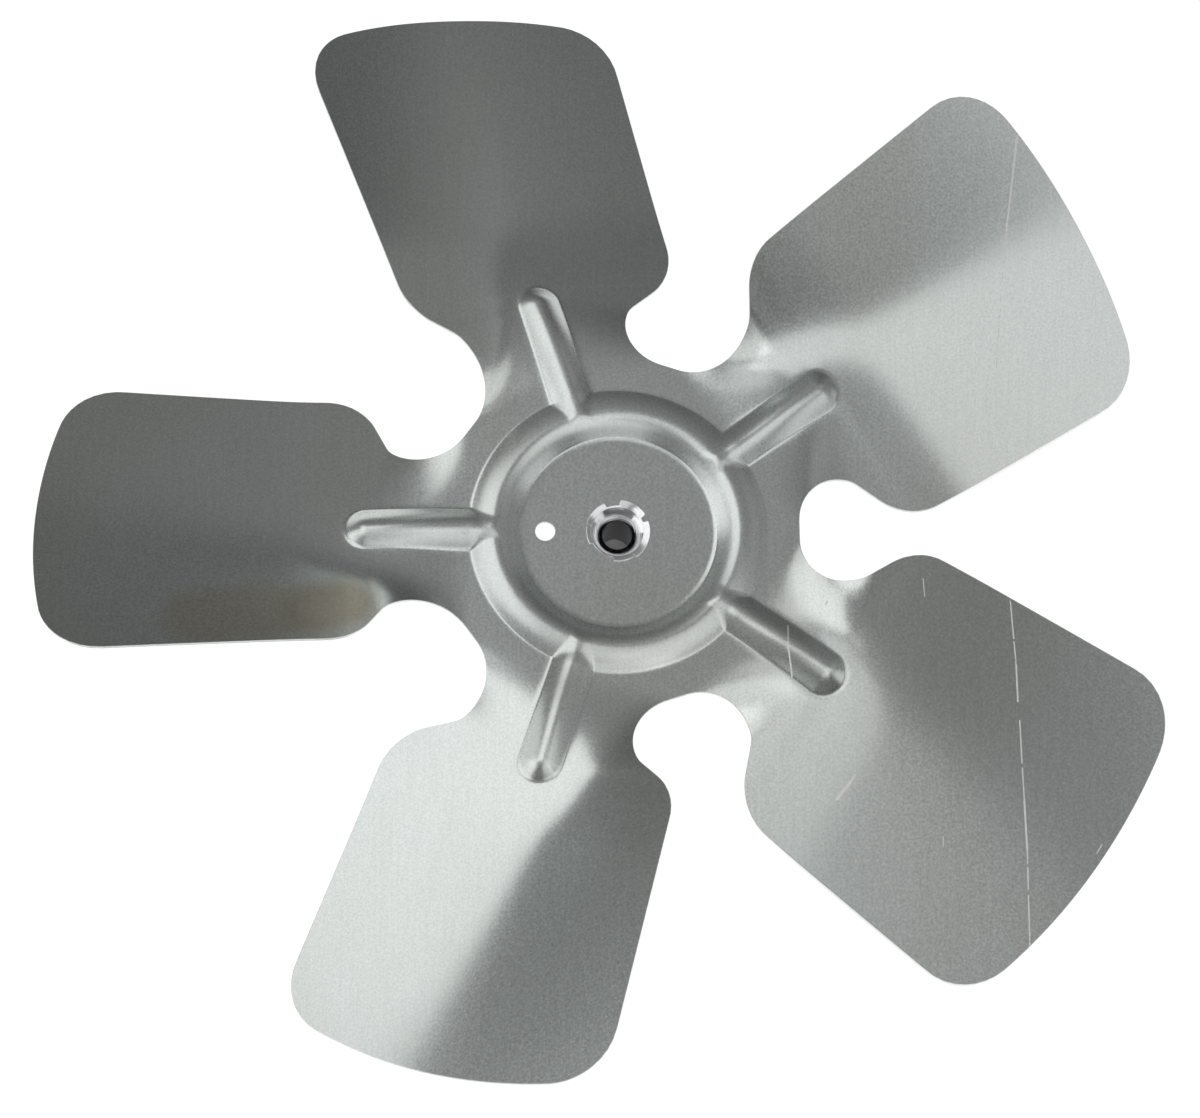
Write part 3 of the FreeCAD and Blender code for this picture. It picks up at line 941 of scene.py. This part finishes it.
@dataclass
class ImpellerSheet:
    """The stamped sheet: disc, ring, ribs and blades as one closed skin."""

    plan: BladePlan = field(default_factory=BladePlan)
    form: BladeForm = field(default_factory=BladeForm)
    beads: BeadForm = field(default_factory=BeadForm)
    thickness: float = 1.25
    slope_step: float = 0.0625
    datum: float = 6.0
    centre_hole: float = 7.05
    locating_hole: float = 2.6
    locating_station: float = 19.05
    locating_pitch: int = 2
    locating_block: tuple[float, float] = (14.6, 23.5)
    band: float = 7.2
    polar_end: float = 39.9
    edge_round: float = 0.14
    edge_angle: float = 62.0
    sharp_angle: float = 60.0
    band_knots: tuple[float, ...] = (0.0, 2.4, 5.4, 6.2)
    band_cells: tuple[int, ...] = (6, 6, 5, 1)
    foot_knot: float = 0.15
    crest_knots: tuple[float, float] = (-2.1, 1.7)
    polar_cells: tuple[int, ...] = (3, 6, 2, 3, 5, 8, 5, 7, 3, 2)
    nose_knots: tuple[float, ...] = (-7.0, 1.0, 20.0)
    blade_cells: tuple[int, ...] = (13, 18, 9, 20)
    flank_cells: int = 15
    notch_cells: int = 8
    root_cells: int = 8
    collar_cells: int = 5

    def skins(self, x: np.ndarray, y: np.ndarray) -> tuple[np.ndarray, np.ndarray]:
        """Heights of both skins.

        The sheet's middle is moved up and down by half the thickness times the root of one plus the
        slope squared, which keeps the thickness square to the slope, and the beads rise over that.

        Args:
            x: distance out along the rib.
            y: distance across.

        Returns:
            Heights of the upper and the lower skin.
        """
        step = self.slope_step
        middle = self.form.height(x, y)
        along = (self.form.height(x + step, y) - self.form.height(x - step, y)) / (2.0 * step)
        across = (self.form.height(x, y + step) - self.form.height(x, y - step)) / (2.0 * step)
        half = self.thickness / 2.0 * np.sqrt(1.0 + along ** 2 + across ** 2)
        top = middle + half + self.beads.rise(x, y, 1, self.thickness)
        bottom = middle - half + self.beads.rise(x, y, -1, self.thickness)
        return top + self.datum, bottom + self.datum

    def band_lines(self) -> np.ndarray:
        """Offsets of the columns along the rib, closest over its ridge and its feet."""
        half = pieced([*self.band_knots, self.band], self.band_cells)
        return np.concatenate([-half[:0:-1], half])

    def polar_zone(self) -> np.ndarray:
        """Plan grid from the centre hole to just outside the ring.

        Rows are circles. The columns of the rib band keep their offset outside the ring's crest and
        their angle inside it, and the rest spread evenly to the middle of the gap.

        Returns:
            The grid's plan points.
        """
        inner = self.beads.ring_inner
        crest = self.beads.crest_station
        low, high = self.locating_block
        foot = self.beads.ring_outer
        near = self.foot_knot
        before, after = self.crest_knots
        knots = [self.centre_hole, low, high, inner - near, inner + near]
        knots += [crest + before, crest, crest + after, foot - near, foot + near, self.polar_end]
        r = pieced(knots, self.polar_cells)[:, None]
        band = np.degrees(np.arcsin(self.band_lines()[None] / np.maximum(r, crest)))
        count = self.flank_cells + self.notch_cells
        spread = np.arange(1, count + 1)[None] / count
        gap = self.plan.half_pitch
        upper = band[:, -1:] + (gap - band[:, -1:]) * spread
        lower = band[:, :1] + (-gap - band[:, :1]) * spread
        angle = np.radians(np.concatenate([lower[:, ::-1], band, upper], axis=1))
        return np.stack([r * np.cos(angle), r * np.sin(angle)], axis=-1)

    def root_line(self, y_low: np.ndarray, y_high: np.ndarray) -> np.ndarray:
        """Plan points across the blade's root, straight from one notch corner to the other.

        Args:
            y_low: plan point of the low side's notch corner.
            y_high: plan point of the high side's notch corner.

        Returns:
            The root line's points.
        """
        lines = self.band_lines()
        share = np.arange(1, self.flank_cells + 1)[:, None] / self.flank_cells
        x_low = np.array([y_low[0], lines[0]])
        x_high = np.array([y_high[0], lines[-1]])
        middle_x = np.interp(lines, [lines[0], lines[-1]], [y_low[0], y_high[0]])
        band = np.stack([middle_x, lines], axis=1)
        lower = x_low + (y_low - x_low) * share
        upper = x_high + (y_high - x_high) * share
        return np.concatenate([lower[::-1], band, upper])

    def root_zone(self, inner: np.ndarray, root: np.ndarray, notches: list[np.ndarray]) -> np.ndarray:
        """Plan grid from the last circle to the blade's root line and the notch floors.

        Each column is a straight line between its two ends.

        Args:
            inner: the last circle's points.
            root: the root line's points.
            notches: the runs from floor to corner on the low and the high side.

        Returns:
            The grid's plan points.
        """
        cells = np.arange(self.notch_cells) / self.notch_cells
        lower = resample(notches[0], cells)
        upper = resample(notches[1], cells)
        outer = np.concatenate([lower, root, upper[::-1]])
        share = np.linspace(0.0, 1.0, self.root_cells + 1)[:, None, None]
        return inner[None] * (1.0 - share) + outer[None] * share

    def blade_zone(
        self,
        root: np.ndarray,
        edges: list[np.ndarray],
        crowns: list[np.ndarray],
    ) -> np.ndarray:
        """Plan grid of the blade outside its root line.

        The rib band's columns are straight, and each flank is a patch blended from its four sides:
        the mean of the lines between opposite sides less the same mean of its four corners.

        Args:
            root: the root line's points.
            edges: the runs along the low and the high edge.
            crowns: the runs along the crown on the low and the high side.

        Returns:
            The grid's plan points.
        """
        lines = self.band_lines()
        nose = self.beads.rib_end
        start = float(root[self.flank_cells, 0])
        tip = self.plan.tip_radius
        knots = [start, *[nose + off for off in self.nose_knots], tip]
        stations = pieced(knots, self.blade_cells)
        share = ((stations - start) / (tip - start))[:, None]
        band_root = root[self.flank_cells:self.flank_cells + len(lines)]
        x = band_root[None, :, 0] * (1.0 - share) + self.plan.crown_x(lines)[None] * share
        band = np.stack([x, np.broadcast_to(lines, x.shape)], axis=-1)
        flanks = []
        for i, near in ((0, 0), (1, -1)):
            across = (np.arange(self.flank_cells + 1) / self.flank_cells)[None, :, None]
            along = share[:, :, None]
            left = band[:, near][:, None]
            right = resample(edges[i], share[:, 0])[:, None]
            foot = root[:self.flank_cells + 1][::-1] if i == 0 else root[-self.flank_cells - 1:]
            head = resample(crowns[i], across[0, :, 0])
            ruled = left * (1.0 - across) + right * across
            other = foot[None] * (1.0 - along) + head[None] * along
            corners = (foot[0] * (1.0 - across) + foot[-1] * across) * (1.0 - along)
            corners = corners + (head[0] * (1.0 - across) + head[-1] * across) * along
            flanks.append(ruled + other - corners)
        return np.concatenate([flanks[0][:, :0:-1], band, flanks[1][:, 1:]], axis=1)

    def locating_collar(self, ring: np.ndarray) -> np.ndarray:
        """Plan grid between a loop of grid points and the round locating hole inside it.

        Each column runs straight from a loop point to the hole's edge on the same bearing.

        Args:
            ring: the loop's points in order, the first one repeated at the end.

        Returns:
            The grid's plan points.
        """
        centre = np.array([self.locating_station, 0.0])
        arms = ring - centre
        edge = centre + arms / np.linalg.norm(arms, axis=1)[:, None] * self.locating_hole
        share = np.linspace(0.0, 1.0, self.collar_cells + 1)[:, None, None]
        return ring[None] * (1.0 - share) + edge[None] * share

    def zones(self) -> tuple[np.ndarray, list[np.ndarray]]:
        """Lay out the plan of one pitch.

        Returns:
            The grid of the polar zone, and the grids of the root and blade zones.
        """
        polar = self.polar_zone()
        low = self.plan.paths(-1, self.band)
        high = self.plan.paths(1, self.band)
        root = self.root_line(low[1][0], high[1][0])
        outer = self.root_zone(polar[-1], root, [low[0], high[0]])
        blade = self.blade_zone(root, [low[1], high[1]], [low[2], high[2]])
        return polar, [outer, blade]

    def build(self, finish: MillAluminium) -> bpy.types.Object:
        """Make the sheet's mesh and dress it.

        Args:
            finish: the sheet's finish.

        Returns:
            The sheet.
        """
        polar, others = self.zones()
        rows = np.hypot(polar[:, 0, 0], polar[:, 0, 1])
        first = int(np.argmin(np.abs(rows - self.locating_block[0])))
        last = int(np.argmin(np.abs(rows - self.locating_block[1])))
        left = self.flank_cells + self.notch_cells
        right = left + len(self.band_lines()) - 1
        keep = np.ones((polar.shape[0] - 1, polar.shape[1] - 1), bool)
        keep[first:last, left:right] = False
        loop = np.concatenate([
            polar[first, left:right],
            polar[first:last, right],
            polar[last, right:left:-1],
            polar[last:first - 1:-1, left],
        ])
        collar = self.locating_collar(loop)
        patches = Patchwork()
        below = []
        for pitch in range(BLADE_COUNT):
            angle = FIRST_RIB_ANGLE + 360.0 * pitch / BLADE_COUNT
            pierced = pitch == self.locating_pitch
            grids = [(polar, keep if pierced else None)] + [(grid, None) for grid in others]
            if pierced:
                grids.append((collar, None))
            for plan, kept in grids:
                top, bottom = self.skins(plan[..., 0], plan[..., 1])
                place = turned(plan, angle)
                patches.add_grid(np.concatenate([place, top[..., None]], axis=-1), keep=kept)
                below.append(np.concatenate([place, bottom[..., None]], axis=-1).reshape(-1, 3))
        return self.close(patches, below, finish)

    def close(
        self,
        patches: Patchwork,
        below: list[np.ndarray],
        finish: MillAluminium,
    ) -> bpy.types.Object:
        """Join upper skin, lower skin and rim into one closed mesh.

        Args:
            patches: the upper skin's grids.
            below: the lower skin's points, in the order of the upper ones.
            finish: the sheet's finish.

        Returns:
            The sheet.
        """
        kept, faces = patches.joined()
        upper = np.concatenate(patches.points)[kept]
        lower = np.concatenate(below)[kept]
        count = len(upper)
        rim = rim_edges(faces)
        walls = np.stack([rim[:, 1], rim[:, 0], rim[:, 0] + count, rim[:, 1] + count], axis=1)
        quads = np.concatenate([faces, faces[:, ::-1] + count, walls])
        shape = (np.concatenate([upper, lower]), quads, np.zeros((0, 3), int))
        piece = make_piece("sheet", shape, finish.material("sheet_mill"), self.sharp_angle)
        bevel = piece.modifiers.new("sheared_edge", "BEVEL")
        bevel.width = self.edge_round * MM
        bevel.segments = 2
        bevel.limit_method = "ANGLE"
        bevel.angle_limit = math.radians(self.edge_angle)
        bevel.harden_normals = True
        log.info("sheet: %d points, %d faces, %d rim edges", 2 * count, len(quads), len(rim))
        return piece


# The hub and its screw.

@dataclass
class Hub:
    """Turned hub: barrel behind the disc, spigot through it, rim staked over its face."""

    bore: float = 3.975
    radius: float = 12.0
    length: float = 18.0
    edge_chamfer: float = 0.8
    bore_chamfer: float = 0.5
    spigot: float = 7.0
    rim: float = 7.25
    rim_height: float = 0.2
    cone_top: float = 6.8
    cone_angle: float = 86.0
    disc_top: float = 5.625
    disc_bottom: float = 4.375
    stake_angle: float = 15.0
    lips: tuple[tuple[float, float, float], ...] = (
        (32.0, 85.0, 1.45),
        (114.0, 165.0, 1.2),
        (170.0, 205.0, 0.95),
        (262.0, 302.0, 0.95),
        (305.0, 380.0, 1.35),
    )
    lip_soft: float = 2.6
    corner_ease: float = 0.1
    corner_cut: float = 0.03
    lip_foot: float = 0.05
    lip_edge: tuple[float, float] = (-0.10, -0.01)
    cone_start: tuple[tuple[float, float], ...] = ((0.06, 0.01), (-0.03, -0.04))
    cone_end: tuple[tuple[float, float], ...] = ((0.04, 0.05), (0.0, -0.05))
    screw_hole: float = 3.18
    screw_depth: float = 11.0
    drill_reach: float = 18.0
    columns: int = 480

    def profile(self, angle: np.ndarray) -> tuple[np.ndarray, np.ndarray]:
        """Radius and height of the section at each angle, as rows by columns.

        Staking pushed the rim outwards in lips, which a window over the angle adds to the rim's
        radius. Their tops rise outwards at the staking tool's angle. Small steps beside each corner
        soften its shading.

        Args:
            angle: angles about the shaft in degrees.

        Returns:
            Radii and heights.
        """
        drop = (self.cone_top - self.bore) / math.tan(math.radians(self.cone_angle / 2.0))
        top = self.disc_top + self.rim_height
        end = self.disc_bottom - self.length
        still = np.zeros_like(angle)
        lips = [out * window(angle, start, stop, self.lip_soft) for start, stop, out in self.lips]
        reach = self.rim + sum(lips)
        peak = top + (reach - self.cone_top) * math.tan(math.radians(self.stake_angle))
        ease = self.corner_ease
        cut = self.corner_cut
        shoulder = self.radius - self.edge_chamfer
        foot = (self.bore + 2.0 * self.bore_chamfer, end)
        section = [
            foot,
            (shoulder - ease, end),
            (shoulder, end + cut),
            (self.radius - cut, end + self.edge_chamfer),
            (self.radius, end + self.edge_chamfer + ease),
            (self.radius, self.disc_bottom - ease),
            (self.radius - cut, self.disc_bottom - cut),
            (self.radius - ease, self.disc_bottom),
            (self.spigot, self.disc_bottom),
            (self.spigot, self.disc_top),
            (reach - self.lip_foot, self.disc_top),
            (reach, self.disc_top + self.lip_foot),
            (reach, peak - ease),
            (reach - cut, peak - cut),
            (reach + self.lip_edge[0], peak + self.lip_edge[1]),
            *[(self.cone_top + out, top + up) for out, up in self.cone_start],
            *[(self.bore + out, top - drop + up) for out, up in self.cone_end],
            (self.bore, end + self.bore_chamfer),
            foot,
        ]
        return np.stack([r + still for r, _ in section]), np.stack([z + still for _, z in section])

    def build(self, finish: TurnedMetal) -> bpy.types.Object:
        """Turn the section round the shaft, drill the screw's hole and dress the hub.

        Args:
            finish: the hub's finish.

        Returns:
            The hub.
        """
        angle = np.linspace(0.0, 360.0, self.columns + 1)
        r, z = self.profile(angle)
        turn = np.radians(angle)[None]
        grid = np.stack([r * np.cos(turn), r * np.sin(turn), z], axis=-1)
        patches = Patchwork()
        patches.add_grid(grid, flipped=True)
        piece = make_piece("hub_turned", patches.welded(), finish.material("hub_turned"), HUB_SHARP)
        drill(piece, self.screw_hole, self.disc_bottom - self.screw_depth, self.drill_reach)
        even = piece.modifiers.new("even_shading", "WEIGHTED_NORMAL")
        even.weight = 100
        even.keep_sharp = True
        log.info("hub: %d faces", len(piece.data.polygons))
        return piece


def drill(piece: bpy.types.Object, radius: float, level: float, reach: float) -> None:
    """Cut a round hole from the shaft's axis out towards -Y.

    Args:
        piece: the piece to cut.
        radius: the hole's radius in millimetres.
        level: height of the hole's axis.
        reach: how far out the cut runs.
    """
    turn = np.linspace(0.0, 2.0 * math.pi, DRILL_POINTS)
    middle = np.broadcast_to(np.array([0.0, 0.0, level]), (DRILL_POINTS, 3))
    arms = [radius * np.cos(turn), np.zeros_like(turn), radius * np.sin(turn) + level]
    ring = np.stack(arms, axis=-1)
    away = np.array([0.0, reach, 0.0])
    patches = Patchwork()
    patches.add_grid(np.stack([middle, ring, ring - away, middle - away]))
    mesh = make_mesh("drill", patches.welded())
    cutter = link_object("drill", mesh)
    cut = piece.modifiers.new("drill", "BOOLEAN")
    cut.operation = "DIFFERENCE"
    cut.solver = "EXACT"
    cut.object = cutter
    graph = bpy.context.evaluated_depsgraph_get()
    result = bpy.data.meshes.new_from_object(piece.evaluated_get(graph))
    piece.modifiers.remove(cut)
    piece.data = result
    bpy.data.objects.remove(cutter)
    bpy.data.meshes.remove(mesh)
    result.shade_smooth()
    result.set_sharp_from_angle(angle=math.radians(HUB_SHARP))


@dataclass
class SetScrew:
    """Headless screw with a rolled thread, a hexagon socket and a blunt point."""

    radius: float = 3.15
    thread_depth: float = 0.5
    pitch: float = 0.907
    length: float = 6.35
    start: float = 4.575
    point_radius: float = 1.6
    point_length: float = 1.1
    end_chamfer: float = 0.4
    socket_flats: float = 3.2
    socket_depth: float = 2.9
    socket_chamfer: float = 0.1
    socket_point: float = 0.3
    level: float = -6.625
    ramp_gain: float = 1.3
    ramp_drop: float = 0.15
    thread_ease: tuple[float, float] = (0.5, 0.4)
    thread_rows: int = 61
    columns: int = 96
    sharp_angle: float = 35.0

    def build(self, finish: TurnedMetal) -> bpy.types.Object:
        """Make the screw along -Y from the shaft and dress it.

        The thread's radius is the outer one less the depth times a folded ramp of the run along the
        screw over the pitch less the turn. The socket's radius at an angle is half the flats over the
        cosine of the angle from the nearest flat's middle.

        Args:
            finish: the screw's finish.

        Returns:
            The screw.
        """
        turn = np.linspace(0.0, 2.0 * math.pi, self.columns + 1)
        body_end = self.length - self.end_chamfer
        run = np.linspace(self.point_length, body_end, self.thread_rows)[:, None]
        phase = (run / self.pitch - turn[None] / (2.0 * math.pi)) % 1.0
        ramp = np.clip(np.abs(2.0 * phase - 1.0) * self.ramp_gain - self.ramp_drop, 0.0, 1.0)
        into, out = self.thread_ease
        ease = smooth_step((run - self.point_length) / into) * smooth_step((body_end - run) / out)
        thread = self.radius - self.thread_depth * (1.0 - (1.0 - ramp) * ease)
        flat = (turn + math.pi / 6.0) % (math.pi / 3.0) - math.pi / 6.0
        hexagon = self.socket_flats / 2.0 / np.cos(flat)
        one = np.ones_like(turn)
        low = self.radius - self.thread_depth
        rows = [
            (0.0 * one, 0.0),
            (self.point_radius * one, 0.0),
            *[(thread[i], float(run[i, 0])) for i in range(len(run))],
            ((low - self.end_chamfer / 2.0) * one, self.length),
            (hexagon + self.socket_chamfer, self.length),
            (hexagon, self.length - self.socket_chamfer),
            (hexagon, self.length - self.socket_depth),
            (0.0 * one, self.length - self.socket_depth - self.socket_point),
        ]
        r = np.stack([row for row, _ in rows])
        along = np.array([place for _, place in rows])[:, None] + self.start
        grid = np.stack([r * np.cos(turn), -along + 0.0 * r, r * np.sin(turn) + self.level], axis=-1)
        patches = Patchwork()
        patches.add_grid(grid)
        material = finish.material("screw_black")
        piece = make_piece("screw_threaded", patches.welded(), material, self.sharp_angle)
        log.info("screw: %d faces", len(piece.data.polygons))
        return piece


# The studio.

@dataclass
class Lamp:
    """A soft box, by where it stands round the object."""

    name: str
    azimuth: float
    zenith: float
    width: float
    height: float
    glow: float
    distance: float = 1.3


@dataclass
class Studio:
    """Floor, light and camera. Metres, and degrees in the object's frame."""

    camera_place: tuple[float, float, float] = (-0.04997, -0.35150, 1.07389)
    camera_turn: tuple[float, float, float] = (-0.3113, 0.0410, 0.0)
    lens: float = 128.5
    sensor: float = 36.0
    view_end: float = 50.0
    floor_size: float = 12.0
    floor_glow: float = 0.88
    floor_grey: tuple[float, float, float, float] = (0.34, 0.34, 0.34, 1.0)
    open_span: tuple[float, float] = (0.15, 0.5)
    glow_centre: tuple[float, float] = (0.0, -0.13)
    glow_reach: tuple[float, float] = (0.235, 0.435)
    contact_reach: float = 0.010
    ambient: float = 0.098
    ambient_lean: tuple[float, float, float] = (-0.39, 0.14, 1.178)
    lamps: tuple[Lamp, ...] = (
        Lamp("left_box", 162.5, 36.0, 1.19, 1.03, 0.78),
        Lamp("right_box", -36.7, 31.4, 0.96, 0.83, 0.64),
        Lamp("over_box", -97.0, 13.8, 0.47, 0.87, 0.40),
        Lamp("left_wall", -173.4, 87.9, 1.33, 1.28, 1.0),
        Lamp("right_wall", 2.0, 78.6, 2.02, 1.99, 0.15),
        Lamp("front_box", -84.6, 46.5, 0.93, 0.53, 0.67),
        Lamp("front_wall", -22.9, 72.5, 0.74, 0.48, 0.58),
    )

    def build(self, floor_level: float) -> None:
        """Build camera, floor, lamps and world.

        Args:
            floor_level: height of what the object rests on.
        """
        self.camera()
        self.floor(floor_level)
        for lamp in self.lamps:
            self.lamp(lamp)
        self.world()

    def camera(self) -> None:
        """Set the camera where the photograph was taken from."""
        data = bpy.data.cameras.new("camera")
        data.lens = self.lens
        data.sensor_width = self.sensor
        data.sensor_fit = "HORIZONTAL"
        data.clip_end = self.view_end
        camera = link_object("camera", data)
        turn = Vector(self.camera_turn)
        rotation = Matrix.Rotation(turn.length, 4, turn.normalized()).transposed()
        camera.matrix_world = Matrix.Translation(self.camera_place) @ rotation
        bpy.context.scene.camera = camera

    def floor(self, level: float) -> None:
        """Lay a plain floor that keeps the object's shadow.

        It glows white to the camera, and to mirrored rays near the glow's centre only. The glow fades
        where the object closes the floor off from the room, which is the contact shadow.

        Args:
            level: the floor's height.
        """
        half = self.floor_size / 2.0
        signs = ((-1, -1), (1, -1), (1, 1), (-1, 1))
        corners = [(half * x, half * y, level) for x, y in signs]
        mesh = bpy.data.meshes.new("floor")
        mesh.from_pydata(corners, [], [(0, 1, 2, 3)])
        material = bpy.data.materials.new("floor_white")
        material.use_nodes = True
        tree = material.node_tree
        tree.nodes.remove(tree.nodes["Principled BSDF"])
        nodes = Nodes(tree)
        path = nodes.add("ShaderNodeLightPath")
        open_air = nodes.add("ShaderNodeAmbientOcclusion", {"Distance": self.contact_reach}, samples=8)
        lit = nodes.remap(open_air.outputs["AO"], *self.open_span, 0.0, self.floor_glow)
        away = nodes.vector("DISTANCE", nodes.flat_place(), (*self.glow_centre, 0.0), output=1)
        fade = {0: away, 1: self.glow_reach[0], 2: self.glow_reach[1], 3: 1.0, 4: 0.0}
        near = nodes.add("ShaderNodeMapRange", fade, interpolation_type="SMOOTHSTEP").outputs[0]
        passed = path.outputs["Is Transmission Ray"]
        mirrored = nodes.math("MAXIMUM", path.outputs["Is Glossy Ray"], passed)
        mirrored = nodes.math("MULTIPLY", mirrored, near)
        seen = nodes.math("MAXIMUM", path.outputs["Is Camera Ray"], mirrored)
        glow = nodes.add("ShaderNodeEmission", {"Strength": nodes.math("MULTIPLY", seen, lit)})
        plain = nodes.add("ShaderNodeBsdfDiffuse", {"Color": self.floor_grey})
        both = nodes.add("ShaderNodeAddShader", {0: glow.outputs[0], 1: plain.outputs[0]})
        nodes.feed(tree.nodes["Material Output"].inputs["Surface"], both.outputs[0])
        mesh.materials.append(material)
        floor = link_object("floor", mesh)

    def lamp(self, lamp: Lamp) -> None:
        """Hang a soft box that faces the object.

        Args:
            lamp: the box's name, place, size and glow.
        """
        data = bpy.data.lights.new(lamp.name, "AREA")
        data.shape = "RECTANGLE"
        data.size = lamp.width
        data.size_y = lamp.height
        data.energy = lamp.glow * math.pi * lamp.width * lamp.height
        azimuth = math.radians(lamp.azimuth)
        zenith = math.radians(lamp.zenith)
        flat = math.sin(zenith)
        way = Vector((flat * math.cos(azimuth), flat * math.sin(azimuth), math.cos(zenith)))
        box = link_object(lamp.name, data)
        box.location = way * lamp.distance
        box.rotation_mode = "QUATERNION"
        box.rotation_quaternion = way.to_track_quat("Z", "Y")

    def world(self) -> None:
        """Fill the rest of the room with a grey that changes slowly with the direction.

        The strength is the ambient level times e to the power of the direction's product with the
        lean, so the room is a little brighter overhead than at its walls.
        """
        world = bpy.data.worlds.new("studio")
        bpy.context.scene.world = world
        world.use_nodes = True
        nodes = Nodes(world.node_tree)
        shade = world.node_tree.nodes["Background"]
        shade.inputs["Color"].default_value = (1.0, 1.0, 1.0, 1.0)
        way = nodes.add("ShaderNodeTexCoord").outputs["Generated"]
        lean = nodes.math("EXPONENT", nodes.vector("DOT_PRODUCT", way, self.ambient_lean, output=1))
        nodes.feed(shade.inputs["Strength"], nodes.math("MULTIPLY", lean, self.ambient))


def main(cad_low: Vector) -> None:
    """Build the studio and the three pieces, and set each on the frame.

    Args:
        cad_low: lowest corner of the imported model.
    """
    logging.basicConfig(level=logging.INFO, format="%(message)s")
    bpy.context.scene.view_settings.view_transform = "Standard"
    for build_effect in (build_grain, build_speckle, build_wear, build_scratch):
        build_effect()
    Studio().build(cad_low.z)
    log.info("studio: floor at %.2f mm", cad_low.z / MM)
    sheet = ImpellerSheet().build(MillAluminium())
    # The hub's colour is darkened inside its bore as painted shade.
    hub = Hub().build(TurnedMetal(roughness=0.15, roughness_spread=0.04, bore_shade_radius=4.02 * MM))
    screw = SetScrew().build(TurnedMetal(colour=(0.16, 0.16, 0.165), roughness=0.38))
    dressed = (
        (sheet, "impeller_sheet", "sheet_aluminium"),
        (hub, "hub", "hub_aluminium"),
        (screw, "set_screw", "screw_steel"),
    )
    for piece, node, slot in dressed:
        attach(piece, ROOT_BODY)
        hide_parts(node)


if __name__ == "__main__":
    main(CAD_LOW)
